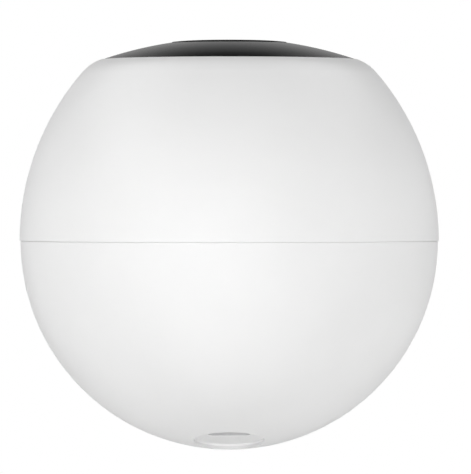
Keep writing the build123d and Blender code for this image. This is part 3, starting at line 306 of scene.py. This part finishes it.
# Circuit boards
board = surface("board_green", (0.012, 0.085, 0.040), (0.020, 0.120, 0.055), 0.003, 0.35, 0.05,
                0.5e-3, 4e-6)
board_black = surface("board_black", grey(0.006), grey(0.009), 0.003, 0.40, 0.05, 0.5e-3, 4e-6)

# Clear pieces: the window's dark plastic, the lens glass with its violet coating, the lamps
window_tint = tuned(surface("window_tint", grey(0.70), grey(0.72), 0.01, 0.02, 0.01, 4e-3, 0.2e-6),
                    Transmission_Weight=1.0, IOR=1.38)
optic = tuned(surface("optic_glass", (0.80, 0.74, 0.90), (0.86, 0.80, 0.96), 0.004, 0.02, 0.01,
                      3e-3, 0.2e-6),
              Transmission_Weight=1.0, IOR=1.6, Specular_Tint=(0.55, 0.40, 1.0, 1.0))
lamp_clear = tuned(surface("lamp_clear", (0.75, 0.72, 0.55), (0.82, 0.78, 0.60), 0.0008, 0.08,
                           0.03, 0.5e-3, 1e-6),
                   Transmission_Weight=0.7, IOR=1.49)


def paint(mat, *names):
    for name in names:
        for place in nodes[name].material_slots:
            place.material = mat


paint(shell_white, "upper_shell", "lower_shell")
paint(cap_graphite, "top_cap")
paint(pad_ribbed, "mount_pad")
paint(pad_rubber, "light_baffle")
paint(frame_black, "base_plate", "slot_bezel", "chassis_left", "chassis_right", "battery_holder",
      "tilt_gear", "lens_holder", "filter_case", "reset_switch", "image_sensor", "filter_coil",
      "filter_slider")
paint(drum_black, "drum_housing", "drum_cover")
paint(head_black, "lens_head", "reset_button")
paint(acetal, "pan_gear", "pan_pinion", "tilt_pinion", "bearing_ring",
      "tilt_bush_left", "tilt_bush_right")
paint(steel, "base_screws", "chassis_screws", "motor_screws", "board_screws", "usb_screws",
      "drum_screws", "pan_shaft", "tilt_shaft", "pan_motor", "tilt_motor", "usb_socket",
      "card_socket", "shield_can")
paint(board, "main_board", "usb_board", "sensor_board", "card_board", "wifi_antenna")
paint(board_black, "led_board")
paint(cream, "board_sockets", "microphone", "light_sensor", "status_led")
paint(sleeve, "battery_cells")
paint(dark_metal, "speaker", "lens_barrel")
paint(window_tint, "lens_window")
paint(optic, "lens_glass", "filter_glasses")
paint(lamp_clear, "infrared_leds")
paint(brass, "thread_insert")


# Helpers for the pieces
ROUND_STEPS = 128


def circle(radius, around=ROUND_STEPS):
    """AROUND points of a circle round the origin, as pairs."""
    turns = [2 * math.pi * i / around for i in range(around)]
    return [(radius * math.cos(turn), radius * math.sin(turn)) for turn in turns]


def stadium(half_w, half_h, steps=16):
    """Points of a slot with round ends, as pairs."""
    points = []
    for side in (1, -1):
        for i in range(steps + 1):
            a = math.pi * (i / steps - 0.5)
            points.append((side * (half_w - half_h + half_h * math.cos(a)),
                           side * half_h * math.sin(a)))
    return points


def smooth_by_angle(mesh, angle):
    """Smooth faces, with the edges sharper than ANGLE degrees kept crisp."""
    bm = bmesh.new()
    bm.from_mesh(mesh)
    for face in bm.faces:
        face.smooth = True
    for edge in bm.edges:
        if len(edge.link_faces) == 2 and edge.calc_face_angle() > math.radians(angle):
            edge.smooth = False
    bm.to_mesh(mesh)
    bm.free()


def make_piece(name, bm, mat, body, place=None, angle=None):
    """The piece NAME from BM, moved by PLACE if it is given, and smoothed up to ANGLE."""
    bmesh.ops.recalc_face_normals(bm, faces=bm.faces)
    mesh = bpy.data.meshes.new(name)
    bm.to_mesh(mesh)
    bm.free()
    if place is not None:
        mesh.transform(place)
    if angle is not None:
        smooth_by_angle(mesh, angle)
    piece = bpy.data.objects.new(name, mesh)
    scene.collection.objects.link(piece)
    mesh.materials.append(mat)
    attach(piece, body)
    return piece


def make_solid(name, loops, mat, body, ends="capped", angle=35, place=None):
    """A closed solid through LOOPS of points. Its ends are capped, joined to each other, or
    pointed, where the first and the last loop are single points."""
    bm = bmesh.new()
    made = [[bm.verts.new(point) for point in loop] for loop in loops]
    if ends == "joined":
        made.append(made[0])
    for a, b in zip(made, made[1:]):
        for i in range(max(len(a), len(b))):
            face = [a[i % len(a)], a[(i + 1) % len(a)], b[(i + 1) % len(b)], b[i % len(b)]]
            bm.faces.new([v for k, v in enumerate(face) if v not in face[:k]])
    if ends == "capped":
        bm.faces.new(made[0])
        bm.faces.new(made[-1])
    return make_piece(name, bm, mat, body, place, angle)


# The threaded insert, with its 1/4-20 thread cut out from the bore
def make_insert():
    bore = 2.6 * MM
    major = 3.12 * MM
    pitch = 1.27 * MM
    flank = 0.44
    mouth = major + 0.10 * MM
    body = 4.4 * MM
    flange = 5.0 * MM
    step = -0.6 * MM
    bottom = -6.6 * MM
    chamfer = 0.1 * MM
    flange_chamfer = 0.12 * MM
    around = 64
    rows_per_pitch = 8
    rows = int(round(-bottom / pitch * rows_per_pitch))
    loops = []
    for k in range(rows + 1):
        z = bottom * k / rows
        loop = []
        for i in range(around):
            angle = 2 * math.pi * i / around
            phase = (z / pitch - i / around) % 1.0
            wave = max(0.0, 1.0 - abs(phase - 0.5) / flank)
            r = bore + (major - bore) * wave if k else mouth
            loop.append((r * math.cos(angle), r * math.sin(angle), z))
        loops.append(loop)
    outside = [(body - chamfer, bottom), (body, bottom + chamfer), (body, step),
               (flange, step), (flange, -flange_chamfer), (flange - flange_chamfer, 0.0)]
    for r, z in outside:
        loops.append([(x, y, z) for x, y in circle(r, around)])
    piece = make_solid("insert_threaded", loops, brass, "mount_base", "joined")
    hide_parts("thread_insert")


# The rubber pad, crowned a little over the cap's flat; the profile is (radius, height) in mm
def make_pad():
    profile = [(5.03, -0.45), (5.03, -0.06), (5.09, 0.0), (6.6, -0.004), (8.2, -0.04),
               (9.8, -0.12), (11.2, -0.23), (12.1, -0.32), (12.3, -0.36), (12.3, -0.45)]
    loops = [[(x, y, z * MM) for x, y in circle(r * MM)] for r, z in profile]
    piece = make_solid("pad_crowned", loops, pad_ribbed, "mount_base", "joined",
                       angle=25)
    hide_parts("mount_pad")


# The lip of the lower shell's edge, which shows in the seam as a pale line. It runs round the
# ball from one side of the slot to the other; the section is (radius, height) in mm.
def make_seam():
    slot_half = 12.75
    outside = 44.7
    section = [(44.2, -0.045), (44.66, -0.045), (outside, -0.02), (outside, 0.02),
               (44.66, 0.045), (44.2, 0.045)]
    around = 256
    start = math.asin(slot_half / outside)
    loops = []
    for i in range(around + 1):
        a = -math.pi / 2 + start + (2 * math.pi - 2 * start) * i / around
        loops.append([BALL + Vector((r * math.cos(a), r * math.sin(a), z)) * MM
                      for r, z in section])
    make_solid("seam_lip", loops, shell_white, "ball", angle=25)


make_insert()
make_pad()
make_seam()

# The frame of the charging socket: its origin is the ball's middle, moved towards the back, and
# its Z axis points out of the socket. SOCKET_BACK and SOCKET_FRONT are heights along that axis.
PORT_TILT = math.radians(16)
PORT_SOCKET_UP = 1.6 * MM
SOCKET = Matrix.Translation(BALL) @ Matrix((
    (1, 0, 0, 0),
    (0, -math.cos(PORT_TILT), math.sin(PORT_TILT), PORT_SOCKET_UP * math.cos(PORT_TILT)),
    (0, -math.sin(PORT_TILT), -math.cos(PORT_TILT), PORT_SOCKET_UP * math.sin(PORT_TILT)),
    (0, 0, 0, 1),
))
SOCKET_BACK = 36.75 * MM
SOCKET_FRONT = 42.95 * MM


# A thin ring on the outer part of the charging recess's wall, round the recess's own middle,
# coloured grey as painted shade where a rounded rim would turn away from the light;
# the profile is (radius, height) in mm
def make_port_shade_ring():
    profile = [(7.595, 43.50), (7.55, 43.52), (7.55, 44.10), (7.57, 44.13), (7.595, 44.13)]
    loops = [[(x, y + PORT_SOCKET_UP, h * MM) for x, y in circle(r * MM)] for r, h in profile]
    make_solid("port_shade_ring", loops, painted_shade_grey, "ball", "joined", angle=25,
               place=SOCKET)


# The charging socket: a drawn steel sleeve with a rolled mouth, a plastic tongue and its contacts
def make_sleeve():
    half_w = 4.47 * MM
    half_h = 1.63 * MM
    # How far inside the outer wall, and how far from the back, in mm
    profile = [(0.10, 0.0), (0.0, 0.1), (0.0, 6.0), (0.03, 6.13), (0.10, 6.2), (0.17, 6.2),
               (0.24, 6.15), (0.30, 6.0), (0.30, 1.2)]
    loops = []
    for inset, depth in profile:
        z = SOCKET_BACK + depth * MM
        loops.append([(x, y, z) for x, y in stadium(half_w - inset * MM, half_h - inset * MM)])
    piece = make_solid("socket_sleeve", loops, bright_steel, "ball", place=SOCKET)
    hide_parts("usb_socket")


TONGUE_TIP = SOCKET_FRONT - 0.5 * MM


def make_tongue():
    half_w = 3.3
    half_h = 0.35
    root = SOCKET_BACK + 1.15 * MM
    # How far inside the outline, in mm, and the height
    profile = [(0.0, root), (0.0, TONGUE_TIP - 0.15 * MM), (0.05, TONGUE_TIP - 0.04 * MM),
               (0.12, TONGUE_TIP)]
    loops = [[(x, y, z) for x, y in stadium((half_w - inset) * MM, (half_h - inset) * MM,
                                             steps=6)]
             for inset, z in profile]
    make_solid("socket_tongue", loops, frame_black, "ball", place=SOCKET)


def make_contacts():
    count = 12
    pitch = 0.5 * MM
    half_w = 0.13 * MM
    inner = 0.33 * MM
    outer = 0.37 * MM
    root = SOCKET_BACK + 2.2 * MM
    end = TONGUE_TIP - 0.35 * MM
    short_by = 0.35 * MM
    short_ones = (1, 2, 4, 5, 6, 7, 9, 10)
    bm = bmesh.new()
    for side in (1, -1):
        for k in range(count):
            x = (k - (count - 1) / 2) * pitch
            top = end - (short_by if k in short_ones else 0.0)
            low = Vector((x - half_w, side * inner, root))
            high = Vector((x + half_w, side * outer, top))
            for vert in bmesh.ops.create_cube(bm, size=1.0)["verts"]:
                vert.co = Vector([low[i] if vert.co[i] < 0 else high[i] for i in range(3)])
    make_piece("socket_contacts", bm, gold, "ball", SOCKET)


make_port_shade_ring()
make_sleeve()
make_tongue()
make_contacts()


# The optics behind the window, turned about the line of sight
LENS_STEPS = 72


def turned(name, profile, mat, ends="joined"):
    """A turned piece of the lens: PROFILE holds (radius, distance from the ball's middle), in mm,
    where a radius of 0 is a single point."""
    loops = []
    for r, depth in profile:
        points = circle(r * MM, LENS_STEPS) if r else [(0, 0)]
        loops.append([(x, -depth * MM, z) for x, z in points])
    make_solid(name, loops, mat, "drum", ends, angle=30, place=Matrix.Translation(BALL))


def dome(r, top, radius, steps=10):
    """A profile of RADIUS from the dome's edge at R to its TOP on the axis."""
    centre = top - radius
    points = []
    for i in range(steps + 1):
        x = r * (1 - i / steps)
        points.append((x, centre + math.sqrt(radius ** 2 - x ** 2)))
    return points


def make_optics():
    glass = 3.12
    glass_back = 35.7
    glass_top = 37.3
    glass_curve = 4.6
    inner = [(0, glass_back), (glass, glass_back)] + dome(glass, glass_top, glass_curve)
    turned("lens_inner", inner, optic, "pointed")
    bore = 3.15
    iris = [(1.15, 34.9), (bore, 34.9), (bore, 35.3), (1.6, 35.3), (1.15, 35.0)]
    turned("lens_iris", iris, dark_metal)
    crest = 2.92
    valley = 3.08
    first_ridge = 37.55
    ridge_pitch = 0.28
    ridges = [(bore, 37.5)]
    for k in range(4):
        depth = first_ridge + ridge_pitch * k
        ridges += [(crest, depth), (crest, depth + 0.10), (valley, depth + 0.14),
                   (valley, depth + 0.26)]
    ridges.append((bore, 38.72))
    turned("lens_ridges", ridges, frame_black)
    ring = [(4.72, 40.38), (5.42, 40.38), (5.42, 40.58), (5.32, 40.68), (4.86, 40.68),
            (4.72, 40.54)]
    turned("lens_ring", ring, dark_metal)
    border = [(9.05, 41.10), (9.93, 41.10), (9.93, 41.18), (9.05, 41.18)]
    turned("window_border", border, head_black)


make_optics()
